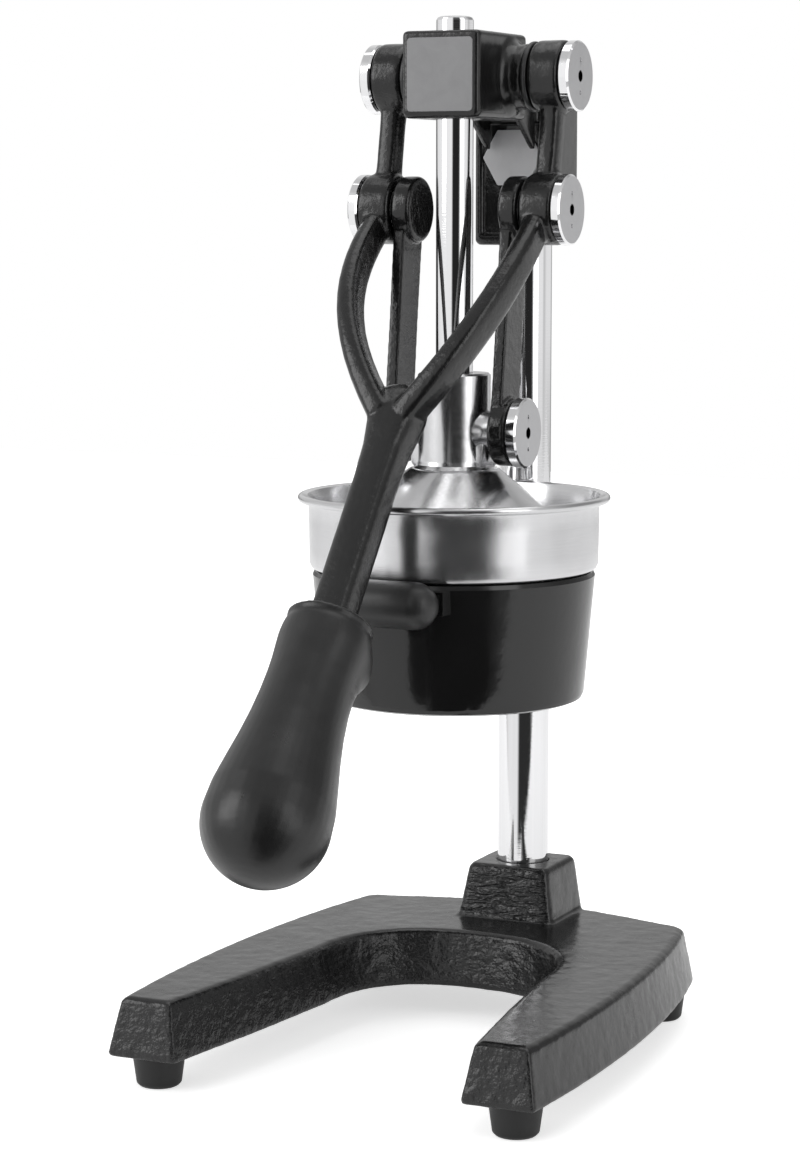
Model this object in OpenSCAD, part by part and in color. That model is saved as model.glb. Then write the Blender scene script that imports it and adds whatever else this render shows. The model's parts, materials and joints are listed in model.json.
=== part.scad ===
// Lever citrus juice press: horseshoe base, column, fixed head, toggle handle and press bell.
// Millimetres, +Z up, the operator stands in front (-Y). The feet rest on Z = 0.
// Inside the modules Y = 0 is the press rod's axis; place() moves that frame to the row's origin.

/* [Base] */
// Height of the rubber feet
foot_h = 13.5; // [12:0.5:20]
// Thickness of the horseshoe casting
base_t = 23.5; // [18:0.5:26]
// Half width over the leg tips, top face
leg_out_x = 86; // [80:1:95]
// Half width between the leg tips, top face
leg_in_x = 64; // [56:1:68]
// How far the leg tips reach in front of the rod axis
leg_reach = 125; // [115:1:135]
// Draft of the cast side walls, top to bottom
draft = 4.4; // [2:0.2:6]
// Height of the column socket above the counter
socket_top = 60; // [52:1:70]

/* [Column and rod] */
// Column diameter
column_d = 22; // [20:0.5:24]
// Distance from the rod axis back to the column axis
column_y = 75; // [68:1:78]
// Press rod diameter
rod_d = 15; // [12:0.5:16]
// Top of the rod when the press is down
rod_top = 417.5; // [415:0.5:424]

/* [Head] */
// Underside of the front block
head_low = 377; // [374:1:382]
// Top of the front block
head_top = 411.5; // [406:0.5:414]
// Half width of the front block
block_x = 16.8; // [14:0.2:18]
// Front face of the block, ahead of the rod axis
block_front = 15; // [12:0.5:18]
// Lower end of the column sleeve
sleeve_low = 326; // [318:1:340]
// Half width of the column sleeve
sleeve_x = 17; // [14:0.5:18]

/* [Toggle linkage] */
// Fulcrum axis: Y and Z
fulcrum = [20.3, 394]; // [0:0.1:420]
// Knuckle axis with the handle down: Y and Z
knuckle = [10.5, 341]; // [0:0.1:420]
// Height of the carriage pins with the handle down
carriage_z = 252; // [248:1:256]
// Handle swing from down to fully raised, degrees
handle_swing = 100; // [80:1:110]

/* [Handle] */
// Lean of the handle's shaft from vertical, degrees
shaft_lean = 38.7; // [36:0.1:42]
// Point on the shaft's axis where the grip starts: Y and Z
grip_start = [-113.2, 187.9]; // [-120:0.1:200]
// Length from the start of the grip to the middle of its bulb
grip_len = 85.5; // [75:0.5:92]
// Radius of the grip's bulb
grip_r = 24.3; // [22:0.1:26]
// Width of the shaft across the press
shaft_w = 15.5; // [13:0.5:18]
// Depth of the shaft
shaft_h = 17; // [14:0.5:20]
// Thickness of each fork arm
arm_w = 8.5; // [6:0.5:10]
// Depth of each fork arm
arm_h = 15.5; // [13:0.5:20]

/* [Bowl and strainer] */
// Radius of the black funnel bowl at its top
bowl_r = 57.8; // [54:0.2:60]
// Underside of the funnel bowl
bowl_low = 143; // [135:1:150]
// Top of the funnel bowl
bowl_top = 195.8; // [190:0.2:200]
// Radius of the juice outlet
outlet_r = 14; // [10:0.5:18]
// Radius of the strainer cup's wall
cup_r = 59.2; // [56:0.2:61]
// Rim height of the strainer cup
cup_top = 226.5; // [222:0.5:230]
// Outer radius of the cup's rolled rim
rim_r = 63.6; // [61:0.2:66]

/* [Press bell] */
// Number of flat facets round the bell
bell_facets = 12; // [10, 12]
// Top face of the bell, handle down
bell_top = 237; // [235:0.5:240]
// Radius of the bell at its top face
bell_top_r = 18.5; // [18:0.5:21]
// Radius of the bell's skirt
bell_r = 48.5; // [46:0.5:51]
// Lower edge of the bell, handle down
bell_low = 203; // [201:0.5:206]

/* [Hidden] */
$fn = 72;

fit = 0.05;            // radial clearance of fixed and running fits
gap = 0.3;             // side clearance between parts that turn past each other

column_r = column_d / 2;
rod_r = rod_d / 2;
base_top = foot_h + base_t;

// The row's origin is under the middle of the overall box: the grip's bulb is the front,
// the back of the horseshoe is the rear.
base_back = 91.5;
grip_front = grip_start[0] - grip_len * sin(shaft_lean) - grip_r;
origin_y = (base_back + draft + grip_front) / 2;

// Feet
foot_x = 76;
foot_front_y = -113;
foot_rear_x = 69;
foot_rear_y = 62;
foot_r_top = 10.6;
foot_r_low = 8.9;
foot_bore = 2.6;
foot_screw_r = 2.5;
foot_head_r = 4.6;
foot_recess = 5;

// Column, socket and their screws
socket_half = 18.4;
socket_rear = 16.7;
socket_spread = 3.6;
column_low = foot_h + 9;
column_top = 399;
column_bolt_r = 5;
column_bolt_head = 8.5;
socket_screw_z = 50;
socket_screw_r = 4;

// Head
block_back = 35;
bridge_x = 11.5;
bridge_low = 381;
bridge_top = 404;
sleeve_front = column_y - 17;
sleeve_back = column_y + 17;
sleeve_top = 403;
recess_x = 14.3;
recess_low = 330;
recess_high = 377;
recess_deep = 2.5;
badge_r = 13.3;
badge_z = 362.5;
badge_t = 1.4;
set_screw_r = 4;
set_screw_z = [341, 384];
bush_wall = 2.2;
bush_len = 12;
bush_inset = 0.8;
trunnion_x = 25.3;
trunnion_r = 13.3;
shaft_r = 6;
washer_x = 27.6;

// Handle bosses and caps, distances from the middle plane
boss1_in = washer_x + gap;
boss1_out = 41;
boss1_r = 14.4;
cap1_out = 45.9;
boss2_in = 28.7;
boss2_out = 42.4;
boss2_r = 14.2;
cap2_out = 46.6;
cap_r = 14.1;
cap_socket = 1.9;
pin_r = 5;
bush_r = 7.8;
bar_x = 34.5;
upper_arm_w = 9;
upper_arm_x = 35.3;
upper_arm_d = 11;

// Links and carriage
link_in = 19.4;
link_out = 27.5;
link_boss_r = 13.5;
link_shank = 18;
link_plate = 4.9;
cap3_in = link_out + gap;
cap3_out = 32.6;
hub_r = 14.8;
hub_top = 275.5;
neck_r = 8.4;
neck_x = link_in - gap;

// Bell
bell_wall = 3.5;
bell_mid_z = 212;
bell_turn = 9.5;
nut_r = 10;
nut_h = 6.5;
rod_low = bell_top - bell_wall - nut_h + 1;

// Toggle geometry: the press rises by this much, and the links turn by this much, while the
// handle swings through handle_swing. Both follow from the two link lengths.
crank = norm(knuckle - fulcrum);
link_len = norm([knuckle[0], knuckle[1] - carriage_z]);
rest_angle = atan2(fulcrum[0] - knuckle[0], fulcrum[1] - knuckle[1]);
up_angle = rest_angle + handle_swing;
knuckle_up = [fulcrum[0] - crank * sin(up_angle), fulcrum[1] - crank * cos(up_angle)];
carriage_up = knuckle_up[1] - sqrt(link_len * link_len - knuckle_up[0] * knuckle_up[0]);
press_travel = carriage_up - carriage_z;
link_turn = asin(knuckle[0] / link_len) - asin(knuckle_up[0] / link_len);
echo(origin_y = origin_y, press_travel = press_travel, link_turn = link_turn);

// Row frame from the rod frame
module place() {
    translate([0, -origin_y, 0]) children();
}

// ---- points, curves and lofted solids -------------------------------------------------

// Point at t on a cubic Bezier curve
function bezier(p, t) =
    pow(1 - t, 3) * p[0] + 3 * pow(1 - t, 2) * t * p[1]
    + 3 * (1 - t) * t * t * p[2] + pow(t, 3) * p[3];

function unit(v) = v / norm(v);

// Reversed list
function flip(list) = [for (i = [len(list) - 1 : -1 : 0]) list[i]];

// Closed plan outline moved outwards by d, or inwards where d is negative (it runs counter-clockwise)
function grown(ring, d) = [
    for (i = [0 : len(ring) - 1])
        let (a = ring[(i + len(ring) - 1) % len(ring)], b = ring[i], c = ring[(i + 1) % len(ring)])
        let (t1 = unit(b - a), t2 = unit(c - b))
        let (n = unit([t1[1] + t2[1], -t1[0] - t2[0]]))
        b + n * d / max(n * [t1[1], -t1[0]], 0.5)
];

// A ring of plan points at height z
function at_height(ring, z) = [for (p = ring) [p[0], p[1], z]];

// Solid through a list of rings that all have the same number of points. Its end faces are one
// polygon each, or the given list of convex ones where the ring is hollowed.
module loft(rings, caps = undef) {
    n = len(rings[0]);
    m = len(rings);
    points = [for (r = rings) for (p = r) p];
    sides = [
        for (j = [0 : m - 2]) for (i = [0 : n - 1])
            let (a = j * n + i, b = j * n + (i + 1) % n)
            each [[a, b + n, b], [a, a + n, b + n]]
    ];
    low = is_undef(caps) ? [[for (i = [0 : n - 1]) i]] : caps;
    high = [for (c = low) flip([for (i = c) (m - 1) * n + i])];
    polyhedron(points = points, faces = concat(low, sides, high), convexity = 6);
}

// Rounded rectangle in plan, counter-clockwise
function rounded_plan(hx, hy, r, cx = 0, cy = 0) = [
    for (q = [0 : 3]) for (k = [0 : 4])
        let (a = q * 90 + k * 22.5)
        let (sx = (q == 0 || q == 3) ? 1 : -1, sy = (q < 2) ? 1 : -1)
        [cx + sx * (hx - r) + r * cos(a), cy + sy * (hy - r) + r * sin(a)]
];

// Ring with superellipse corners round a centre point, square to a path's direction
function swept_ring(centre, dir, w, h, count = 20) =
    let (up = unit([0, dir[2], -dir[1]]), side = unit(cross(up, dir)))
    [
        for (k = [0 : count - 1])
            let (a = 360 * k / count, ca = cos(a), sa = sin(a))
            centre
                + side * w / 2 * sign(ca) * pow(abs(ca), 0.6)
                + up * h / 2 * sign(sa) * pow(abs(sa), 0.6)
    ];

// Cylinder along X from x0 to x1, its axis at yz
module bar_x_axis(x0, x1, yz, r) {
    translate([x0, yz[0], yz[1]]) rotate([0, 90, 0]) cylinder(h = x1 - x0, r = r);
}

// Cylinder along Y from y0 to y1
module bar_y_axis(y0, y1, x, z, r) {
    translate([x, y0, z]) rotate([-90, 0, 0]) cylinder(h = y1 - y0, r = r);
}

// Children mirrored to the left side as well
module both_sides() {
    children();
    mirror([1, 0, 0]) children();
}

// Chamfered disc along X from x0 to x1
module disc_x(x0, x1, yz, r, edge = 0.8) {
    translate([x0, yz[0], yz[1]]) rotate([0, 90, 0]) rotate_extrude() polygon([
        [0, 0],
        [r - edge, 0],
        [r, edge],
        [r, x1 - x0 - edge],
        [r - edge, x1 - x0],
        [0, x1 - x0]
    ]);
}

// ---- base -----------------------------------------------------------------------------

// Inner edge of the horseshoe, from the right leg tip round the back to the left tip
inner_a = 50.5;
inner_b = 53;
inner_y = -25;
inner_power = 0.83;
leg_bow = 0.8;         // how far the legs' inner edges bow towards the middle
leg_middle = [(leg_in_x + inner_a) / 2 - leg_bow, (inner_y - leg_reach) / 2];
inner_edge = concat(
    [[leg_in_x, -leg_reach], leg_middle],
    [
        for (a = [0 : 4.5 : 180])
            [
                inner_a * sign(cos(a)) * pow(abs(cos(a)), inner_power),
                inner_y + inner_b * pow(sin(a), inner_power)
            ]
    ],
    [[-leg_middle[0], leg_middle[1]], [-leg_in_x, -leg_reach]]
);
side_curve = [[leg_out_x, -leg_reach], [92, -62], [89.5, 12], [76.2, 69.6]];
back_curve = [[70.8, 77.2], [54, 80.8], [30, base_back], [0, base_back]];
outer_right = concat(
    [for (k = [0 : 12]) bezier(side_curve, k / 12)],
    [[74.6, 74.2]],
    [for (k = [0 : 7]) bezier(back_curve, k / 8)]
);
outer_edge = concat(
    outer_right,
    [[0, base_back]],
    flip([for (p = outer_right) [-p[0], p[1]]])
);
horseshoe = concat(outer_edge, flip(inner_edge));

// The outer and inner edges have as many points each, so the ends of the loft are rows of quads
edge_count = len(outer_edge);
horseshoe_caps = [
    for (i = [0 : edge_count - 2]) [i, i + 1, 2 * edge_count - 2 - i, 2 * edge_count - 1 - i]
];

module horseshoe_body() {
    loft([
        at_height(grown(horseshoe, draft - 1), foot_h),
        at_height(grown(horseshoe, draft), foot_h + 1.2),
        at_height(grown(horseshoe, 0.2), base_top - 2),
        at_height(grown(horseshoe, -0.7), base_top - 0.8),
        at_height(grown(horseshoe, -2.4), base_top)
    ], horseshoe_caps);
}

module socket_block() {
    low = socket_half + socket_spread;
    low_deep = (low + socket_rear) / 2;
    low_y = column_y + (socket_rear - low) / 2;
    top_deep = (socket_half + socket_rear) / 2;
    top_y = column_y + (socket_rear - socket_half) / 2;
    loft([
        at_height(rounded_plan(low + 0.5, low_deep + 0.2, 3, 0, low_y), base_top - 4),
        at_height(rounded_plan(low, low_deep, 3, 0, low_y), base_top),
        at_height(rounded_plan(socket_half + 0.1, top_deep + 0.1, 3, 0, top_y), socket_top - 1.6),
        at_height(rounded_plan(socket_half - 1.3, top_deep - 1.3, 2.5, 0, top_y), socket_top)
    ]);
}

foot_places = [
    [-foot_x, foot_front_y], [foot_x, foot_front_y],
    [-foot_rear_x, foot_rear_y], [foot_rear_x, foot_rear_y]
];

module base_casting() {
    color("#1b1b1c") difference() {
        union() {
            horseshoe_body();
            socket_block();
        }
        translate([0, column_y, column_low]) cylinder(h = 80, r = column_r + fit);
        translate([0, column_y, 0]) cylinder(h = column_low + 1, r = column_bolt_r + fit);
        translate([0, column_y, 0]) cylinder(h = foot_h + 4, r = column_bolt_head + 2);
        bar_y_axis(column_y, column_y + 40, 0, socket_screw_z, socket_screw_r + fit);
        for (p = foot_places)
            translate([p[0], p[1], foot_h - 1]) cylinder(h = 15, r = foot_screw_r + fit);
    }
}

// One rubber foot with a recess for its screw
module foot(p) {
    color("#161616") translate([p[0], p[1], 0]) difference() {
        rotate_extrude() polygon([
            [foot_bore, 0],
            [foot_r_low - 1.2, 0],
            [foot_r_low, 1.2],
            [foot_r_top, foot_h],
            [foot_bore, foot_h]
        ]);
        translate([0, 0, -1]) cylinder(h = foot_recess + 1, r = foot_head_r + 0.4);
    }
}

module foot_screws() {
    color("#9a9a98") for (p = foot_places) translate([p[0], p[1], 0]) difference() {
        union() {
            translate([0, 0, foot_recess - 2.6]) cylinder(h = 2.6, r = foot_head_r);
            translate([0, 0, foot_recess - 0.5]) cylinder(h = 21, r = foot_screw_r);
        }
        translate([0, 0, foot_recess - 3]) cylinder(h = 1.8, r = 1.7, $fn = 6);
    }
}

// ---- column ---------------------------------------------------------------------------

module column() {
    color("#d8d8d8") difference() {
        translate([0, column_y, column_low]) rotate_extrude() polygon([
            [0, 0],
            [column_r - 1, 0],
            [column_r, 1],
            [column_r, column_top - column_low - 1],
            [column_r - 1, column_top - column_low],
            [0, column_top - column_low]
        ]);
        translate([0, column_y, column_low - 1]) cylinder(h = 22, r = column_bolt_r + fit);
    }
}

module column_bolt() {
    color("#a8a8a6") translate([0, column_y, 0]) difference() {
        union() {
            translate([0, 0, foot_h - 4.5]) cylinder(h = 6.5, r = column_bolt_head, $fn = 6);
            translate([0, 0, foot_h]) cylinder(h = 26, r = column_bolt_r);
        }
        translate([0, 0, foot_h - 5]) cylinder(h = 1.2, r = 4);
    }
}

module column_washer() {
    color("#b4b4b2") translate([0, column_y, foot_h + 2]) difference() {
        cylinder(h = 2, r = column_bolt_head + 1.6);
        translate([0, 0, -1]) cylinder(h = 4, r = column_bolt_r + fit);
    }
}

// Hexagon-socket grub screw along Y, its outer end at y1
module grub_screw(y0, y1, x, z, r) {
    difference() {
        bar_y_axis(y0, y1, x, z, r);
        translate([x, y1 + 0.5, z]) rotate([90, 0, 0]) cylinder(h = 3.5, r = r * 0.5, $fn = 6);
    }
}

module socket_screw() {
    inner_end = column_y + column_r + fit;
    outer_end = column_y + socket_rear + 0.3;
    color("#707070") grub_screw(inner_end, outer_end, 0, socket_screw_z, socket_screw_r);
}

// ---- bowl, strainer and reamer --------------------------------------------------------

bowl_low_r = 53.4;
bowl_wall = 4;
clamp_low = 150;
clamp_high = 184;
clamp_r = 17.2;
clamp_ear_x = 12;
clamp_screw_y = column_y + 16.6;
clamp_ear_back = column_y + 20.8;
clamp_screw_z = 167;
clamp_slit = 3;
bumper_y = -67;
bumper_z = 189;
bumper_r = 9.3;
bumper_x = 13.2;
bumper_dome = 9.3;
stud_r = 2.5;
bumper_cut = -63;
lug_front = -60;
lug_x = 22;
lug_low = 184.5;
lug_high = 193.8;

module bowl_shell() {
    rotate_extrude($fn = 96) polygon([
        [outlet_r + 3, bowl_low],
        [bowl_low_r - 3, bowl_low],
        [bowl_low_r - 0.9, bowl_low + 0.9],
        [bowl_low_r, bowl_low + 3],
        [bowl_r - 0.2, bowl_top - 2],
        [bowl_r - 0.9, bowl_top - 0.4],
        [bowl_r - 1.8, bowl_top],
        [bowl_r - bowl_wall + 0.6, bowl_top],
        [bowl_r - bowl_wall, bowl_top - 0.6],
        [bowl_r - bowl_wall - 1.2, bowl_top - 16],
        [bowl_r - bowl_wall - 5, bowl_top - 21],
        [outlet_r + 2.5, bowl_low + 11],
        [outlet_r, bowl_low + 7],
        [outlet_r, bowl_low]
    ]);
}

module funnel_bowl() {
    color("#1a1a1b") difference() {
        union() {
            bowl_shell();
            difference() {
                union() {
                    translate([0, column_y, clamp_low]) cylinder(h = clamp_high - clamp_low, r = clamp_r);
                    translate([-clamp_ear_x, 45, clamp_low + 3])
                        cube([2 * clamp_ear_x, column_y - 45, clamp_high - clamp_low - 6]);
                    translate([-clamp_ear_x, column_y, clamp_low + 6])
                        cube([2 * clamp_ear_x, clamp_ear_back - column_y, clamp_high - clamp_low - 12]);
                }
                translate([0, 0, clamp_low - 1]) cylinder(h = 60, r = bowl_low_r - 1.5);
            }
            difference() {
                union() {
                    translate([-lug_x, lug_front, lug_low]) cube([2 * lug_x, 20, lug_high - lug_low]);
                    translate([-lug_x + 1.6, bumper_cut, lug_low + 1])
                        cube([2 * lug_x - 3.2, 8, lug_high - lug_low - 2]);
                }
                translate([0, 0, lug_low - 1]) cylinder(h = 20, r = bowl_r - 2.5);
            }
        }
        translate([0, column_y, clamp_low - 1]) cylinder(h = 60, r = column_r + fit);
        translate([-clamp_slit / 2, column_y, clamp_low - 1])
            cube([clamp_slit, 60, clamp_high - clamp_low + 2]);
        bar_x_axis(-30, 30, [clamp_screw_y, clamp_screw_z], 2.5 + fit);
        bar_y_axis(bumper_cut - 1, lug_front + 5, 0, bumper_z, stud_r + fit);
    }
}

module bowl_clamp_screw() {
    color("#8e8e8c") difference() {
        union() {
            bar_x_axis(-clamp_ear_x - 6, clamp_ear_x + 1, [clamp_screw_y, clamp_screw_z], 2.5);
            bar_x_axis(clamp_ear_x, clamp_ear_x + 5, [clamp_screw_y, clamp_screw_z], 4);
            translate([-clamp_ear_x - 4, clamp_screw_y, clamp_screw_z]) rotate([0, 90, 0])
                cylinder(h = 4, r = 4.6, $fn = 6);
        }
        translate([clamp_ear_x + 2.5, clamp_screw_y, clamp_screw_z]) rotate([0, 90, 0])
            cylinder(h = 4, r = 2.3, $fn = 6);
    }
}

sheet = 1.1;
cup_low = bowl_top + 0.2;
floor_z = 190.5;
floor_r = 52;

// Spun stainless cup: rolled rim, wall, shoulder on the bowl and a sunk perforated floor
module strainer_cup() {
    color("#c9c9c7") difference() {
        rotate_extrude($fn = 96) union() {
            polygon([
                [0, floor_z],
                [floor_r - 2, floor_z],
                [floor_r, floor_z + 2],
                [floor_r + 0.3, cup_low],
                [cup_r - 3, cup_low],
                [cup_r - 1.1, cup_low + 0.8],
                [cup_r - 0.3, cup_low + 2.6],
                [cup_r, cup_top - 5],
                [cup_r + 1.2, cup_top - 1.8],
                [rim_r - 2, cup_top - 1.2],
                [rim_r - 2, cup_top],
                [cup_r + 0.4, cup_top - 0.4],
                [cup_r - sheet - 0.2, cup_top - 4],
                [cup_r - sheet - 0.6, cup_low + 2.2],
                [cup_r - 3.4, cup_low + sheet],
                [floor_r - 0.8, cup_low + sheet],
                [floor_r - sheet, floor_z + 2.4],
                [floor_r - 2.6, floor_z + sheet],
                [0, floor_z + sheet]
            ]);
            translate([rim_r - 1.6, cup_top - 1.5]) circle(r = 1.6, $fn = 24);
        }
        for (ring = [[31, 20], [38, 24], [45, 28]])
            for (k = [0 : ring[1] - 1])
                rotate([0, 0, 360 * k / ring[1]])
                    translate([ring[0], 0, floor_z - 1]) cylinder(h = 4, r = 1.7, $fn = 24);
        translate([0, 0, floor_z - 1]) cylinder(h = 4, r = 6 + fit);
    }
}

reamer_r = 25;
reamer_top = 224;
reamer_ribs = 10;

// Ribbed cone that opens the fruit; a spigot centres it in the strainer's floor
module reamer_cone() {
    base_z = floor_z + sheet;
    color("#d2d2d0") union() {
        translate([0, 0, base_z]) rotate_extrude() polygon([
            [0, 0],
            [reamer_r + 2, 0],
            [reamer_r + 2, 2],
            [reamer_r - 2, 5],
            [reamer_r * 0.72, 14],
            [reamer_r * 0.45, 22],
            [reamer_r * 0.2, reamer_top - base_z - 3.5],
            [1.5, reamer_top - base_z - 0.6],
            [0, reamer_top - base_z]
        ]);
        for (k = [0 : reamer_ribs - 1]) rotate([0, 0, 360 * k / reamer_ribs])
            rotate([90, 0, 0]) translate([0, 0, -0.9]) linear_extrude(height = 1.8) polygon([
                [2, base_z + 1],
                [reamer_r + 1.6, base_z + 1],
                [reamer_r * 0.83, base_z + 13.5],
                [reamer_r * 0.56, base_z + 22],
                [reamer_r * 0.2, reamer_top - 2.5],
                [2, reamer_top - 1.6]
            ]);
        translate([0, 0, floor_z - 2.5]) cylinder(h = 4.5, r = 6);
    }
}

// Round-ended bar that cushions the handle, on the lug in front of the bowl
module stop_bumper() {
    color("#141414") difference() {
        translate([0, bumper_y, bumper_z]) rotate([0, 90, 0]) rotate_extrude() polygon(concat(
            [[0, -bumper_x - bumper_dome]],
            [for (a = [10 : 10 : 90]) [bumper_r * sin(a), -bumper_x - bumper_dome * cos(a)]],
            [for (a = [90 : -10 : 10]) [bumper_r * sin(a), bumper_x + bumper_dome * cos(a)]],
            [[0, bumper_x + bumper_dome]]
        ));
        translate([-40, bumper_cut, bumper_z - 20]) cube([80, 20, 40]);
        bar_y_axis(bumper_y - 3, bumper_cut + 1, 0, bumper_z, stud_r + fit);
    }
}

// Hidden stud between the bumper and the lug
module bumper_stud() {
    color("#8a8a88") bar_y_axis(bumper_y - 2.5, lug_front + 4.5, 0, bumper_z, stud_r);
}

// ---- head -----------------------------------------------------------------------------

// Front block: a box with a rounded plan and eased top and bottom edges
module front_block() {
    mid = (block_back - block_front) / 2;
    deep = (block_back + block_front) / 2;
    loft([
        at_height(rounded_plan(block_x - 1.8, deep - 1.8, 1.5, 0, mid), head_low),
        at_height(rounded_plan(block_x - 0.5, deep - 0.5, 2, 0, mid), head_low + 0.8),
        at_height(rounded_plan(block_x, deep, 2, 0, mid), head_low + 2.2),
        at_height(rounded_plan(block_x, deep, 2, 0, mid), head_top - 1.2),
        at_height(rounded_plan(block_x - 1, deep - 1, 1.5, 0, mid), head_top)
    ]);
}

module column_sleeve() {
    half = (sleeve_back - sleeve_front) / 2;
    loft([
        at_height(rounded_plan(sleeve_x - 1.2, half - 1.2, 2, 0, column_y), sleeve_low),
        at_height(rounded_plan(sleeve_x, half, 2.5, 0, column_y), sleeve_low + 1.4),
        at_height(rounded_plan(sleeve_x, half, 2.5, 0, column_y), sleeve_top - 2.5),
        at_height(rounded_plan(sleeve_x - 2, half - 2, 2, 0, column_y), sleeve_top)
    ]);
}

// Triangular web under the bridge
module gusset(x0) {
    translate([x0, 0, 0]) rotate([90, 0, 90]) linear_extrude(height = 3) polygon([
        [sleeve_front + 1, 364],
        [sleeve_front + 1, bridge_low + 1],
        [block_back - 1, bridge_low + 1]
    ]);
}

// Cast trunnion for the handle: a flared root, a boss and a raised rim
module trunnion() {
    translate([0, fulcrum[0], fulcrum[1]]) rotate([0, 90, 0]) rotate_extrude() polygon([
        [0, 8],
        [16, block_x - 2],
        [15.6, block_x],
        [13.9, block_x + 1.6],
        [trunnion_r - 0.3, block_x + 3.4],
        [trunnion_r, trunnion_x - 0.6],
        [trunnion_r - 0.6, trunnion_x],
        [0, trunnion_x]
    ]);
}

module head_casting() {
    recess_z = recess_high - recess_low;
    color("#1b1b1c") difference() {
        union() {
            front_block();
            column_sleeve();
            translate([-bridge_x, block_back - 6, bridge_low])
                cube([2 * bridge_x, sleeve_front - block_back + 12, bridge_top - bridge_low]);
            gusset(bridge_x - 3);
            gusset(-bridge_x);
            both_sides() trunnion();
        }
        translate([-recess_x, sleeve_front - 1, recess_low]) cube([2 * recess_x, recess_deep + 1, recess_z]);
        translate([0, 0, head_low - 1]) cylinder(h = 60, r = rod_r + fit + bush_wall + fit);
        translate([0, column_y, sleeve_low - 1])
            cylinder(h = column_top - sleeve_low + 1.5, r = column_r + fit);
        bar_x_axis(-60, 60, fulcrum, shaft_r + fit);
        for (z = set_screw_z)
            bar_y_axis(column_y, sleeve_back + 5, 0, z, set_screw_r + fit);
    }
}

// Blank six-sided pad in the recess of the sleeve
module head_badge() {
    color("#8f8f8f") translate([0, sleeve_front + recess_deep, badge_z]) rotate([90, 0, 0])
        cylinder(h = badge_t, r = badge_r, $fn = 6);
}

module head_set_screws() {
    color("#6f6f6f") for (z = set_screw_z)
        grub_screw(column_y + column_r + fit, sleeve_back - 1, 0, z, set_screw_r);
}

// Guide bush for the rod, set just inside the block's bore; z is its lower end
module rod_bush(z) {
    color("#b08d57") translate([0, 0, z]) difference() {
        cylinder(h = bush_len, r = rod_r + fit + bush_wall);
        translate([0, 0, -1]) cylinder(h = bush_len + 2, r = rod_r + fit);
    }
}

module fulcrum_shaft() {
    color("#b8b8b6") difference() {
        bar_x_axis(-boss1_out - gap, boss1_out + gap, fulcrum, shaft_r);
        both_sides() bar_x_axis(boss1_out - 14, boss1_out + 2, fulcrum, 3 + fit);
    }
}

module fulcrum_washers() {
    color("#202020") both_sides() difference() {
        disc_x(trunnion_x, washer_x, fulcrum, trunnion_r + 0.8, 0.5);
        bar_x_axis(trunnion_x - 1, washer_x + 1, fulcrum, shaft_r + fit);
    }
}

// Big chrome cap of a pin, right side: face at x1, hexagon socket and two spanner dimples
module pin_cap(x0, x1, yz) {
    difference() {
        disc_x(x0, x1, yz, cap_r, 0.7);
        translate([x1 - 4, yz[0], yz[1]]) rotate([0, 90, 0]) cylinder(h = 5, r = cap_socket + 0.4, $fn = 6);
        for (s = [-1, 1])
            bar_x_axis(x1 - 1, x1 + 1, [yz[0], yz[1] + s * 6.5], 0.8);
    }
}

module fulcrum_cap() {
    color("#dcdcdc") union() {
        pin_cap(boss1_out + gap, cap1_out, fulcrum);
        bar_x_axis(boss1_out - 12, boss1_out + gap + 1, fulcrum, 3);
    }
}

// ---- handle ---------------------------------------------------------------------------

shaft_dir = [0, -sin(shaft_lean), -cos(shaft_lean)];
shaft_head = [0, -55.4, 260];
grip_point = [0, grip_start[0], grip_start[1]];

// Centre line of the right fork arm, from the knuckle boss down to the shaft
arm_line = [[bar_x, knuckle[0], knuckle[1]], [37, -22, 318], [34, -44, 298], [5, -57, 262]];
arm_steps = 14;

function arm_dir(t) = unit(bezier(arm_line, t + 0.01) - bezier(arm_line, t - 0.01));

module fork_arm() {
    loft([
        for (k = [0 : arm_steps])
            let (t = 0.04 + 0.96 * k / arm_steps)
            swept_ring(bezier(arm_line, t), arm_dir(t), arm_w + 2 * pow(t, 3), arm_h - 2 * pow(1 - t, 2))
    ]);
}

// Shaft from the crotch of the fork to inside the grip, wider where the arms run in
module shaft_bar() {
    length = norm(grip_point - shaft_head) + 70;
    stations = [
        [-13, 12, 12], [-9, 21, 16], [-2, 22, 18.5], [6, 19.5, 18.5], [16, 16.5, 17.5],
        [30, shaft_w, shaft_h], [70, shaft_w, shaft_h], [96, shaft_w, shaft_h],
        [99.5, 13, 13], [length, 12, 12]
    ];
    loft([
        for (s = stations)
            swept_ring(shaft_head + shaft_dir * s[0], shaft_dir, s[1], s[2])
    ]);
}

// Slim upper arm between the fulcrum and knuckle bosses
module upper_arm() {
    along = [0, knuckle[0] - fulcrum[0], knuckle[1] - fulcrum[1]];
    start = [upper_arm_x, fulcrum[0], fulcrum[1]];
    loft([
        for (s = [[0.12, 15], [0.24, 12], [0.36, upper_arm_d], [0.64, upper_arm_d], [0.78, 12.5], [0.9, 16]])
            swept_ring(start + along * s[0], unit(along), upper_arm_w, s[1])
    ]);
}

module handle_casting() {
    color("#1b1b1c") difference() {
        union() {
            both_sides() {
                fork_arm();
                upper_arm();
                disc_x(boss1_in, boss1_out, fulcrum, boss1_r, 1);
                disc_x(boss2_in, boss2_out, knuckle, boss2_r, 1);
            }
            shaft_bar();
        }
        bar_x_axis(-60, 60, fulcrum, bush_r + fit);
        bar_x_axis(-60, 60, knuckle, pin_r + fit);
        grip_bore();
    }
}

shaft_end = norm(grip_point - shaft_head) + 70;

// Threaded hole in the lower end of the shaft for the grip's stud
module grip_bore() {
    translate(shaft_head + shaft_dir * (shaft_end + 1)) rotate([180 - shaft_lean, 0, 0])
        translate([0, 0, -24]) cylinder(h = 24, r = 3 + fit);
}

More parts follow.
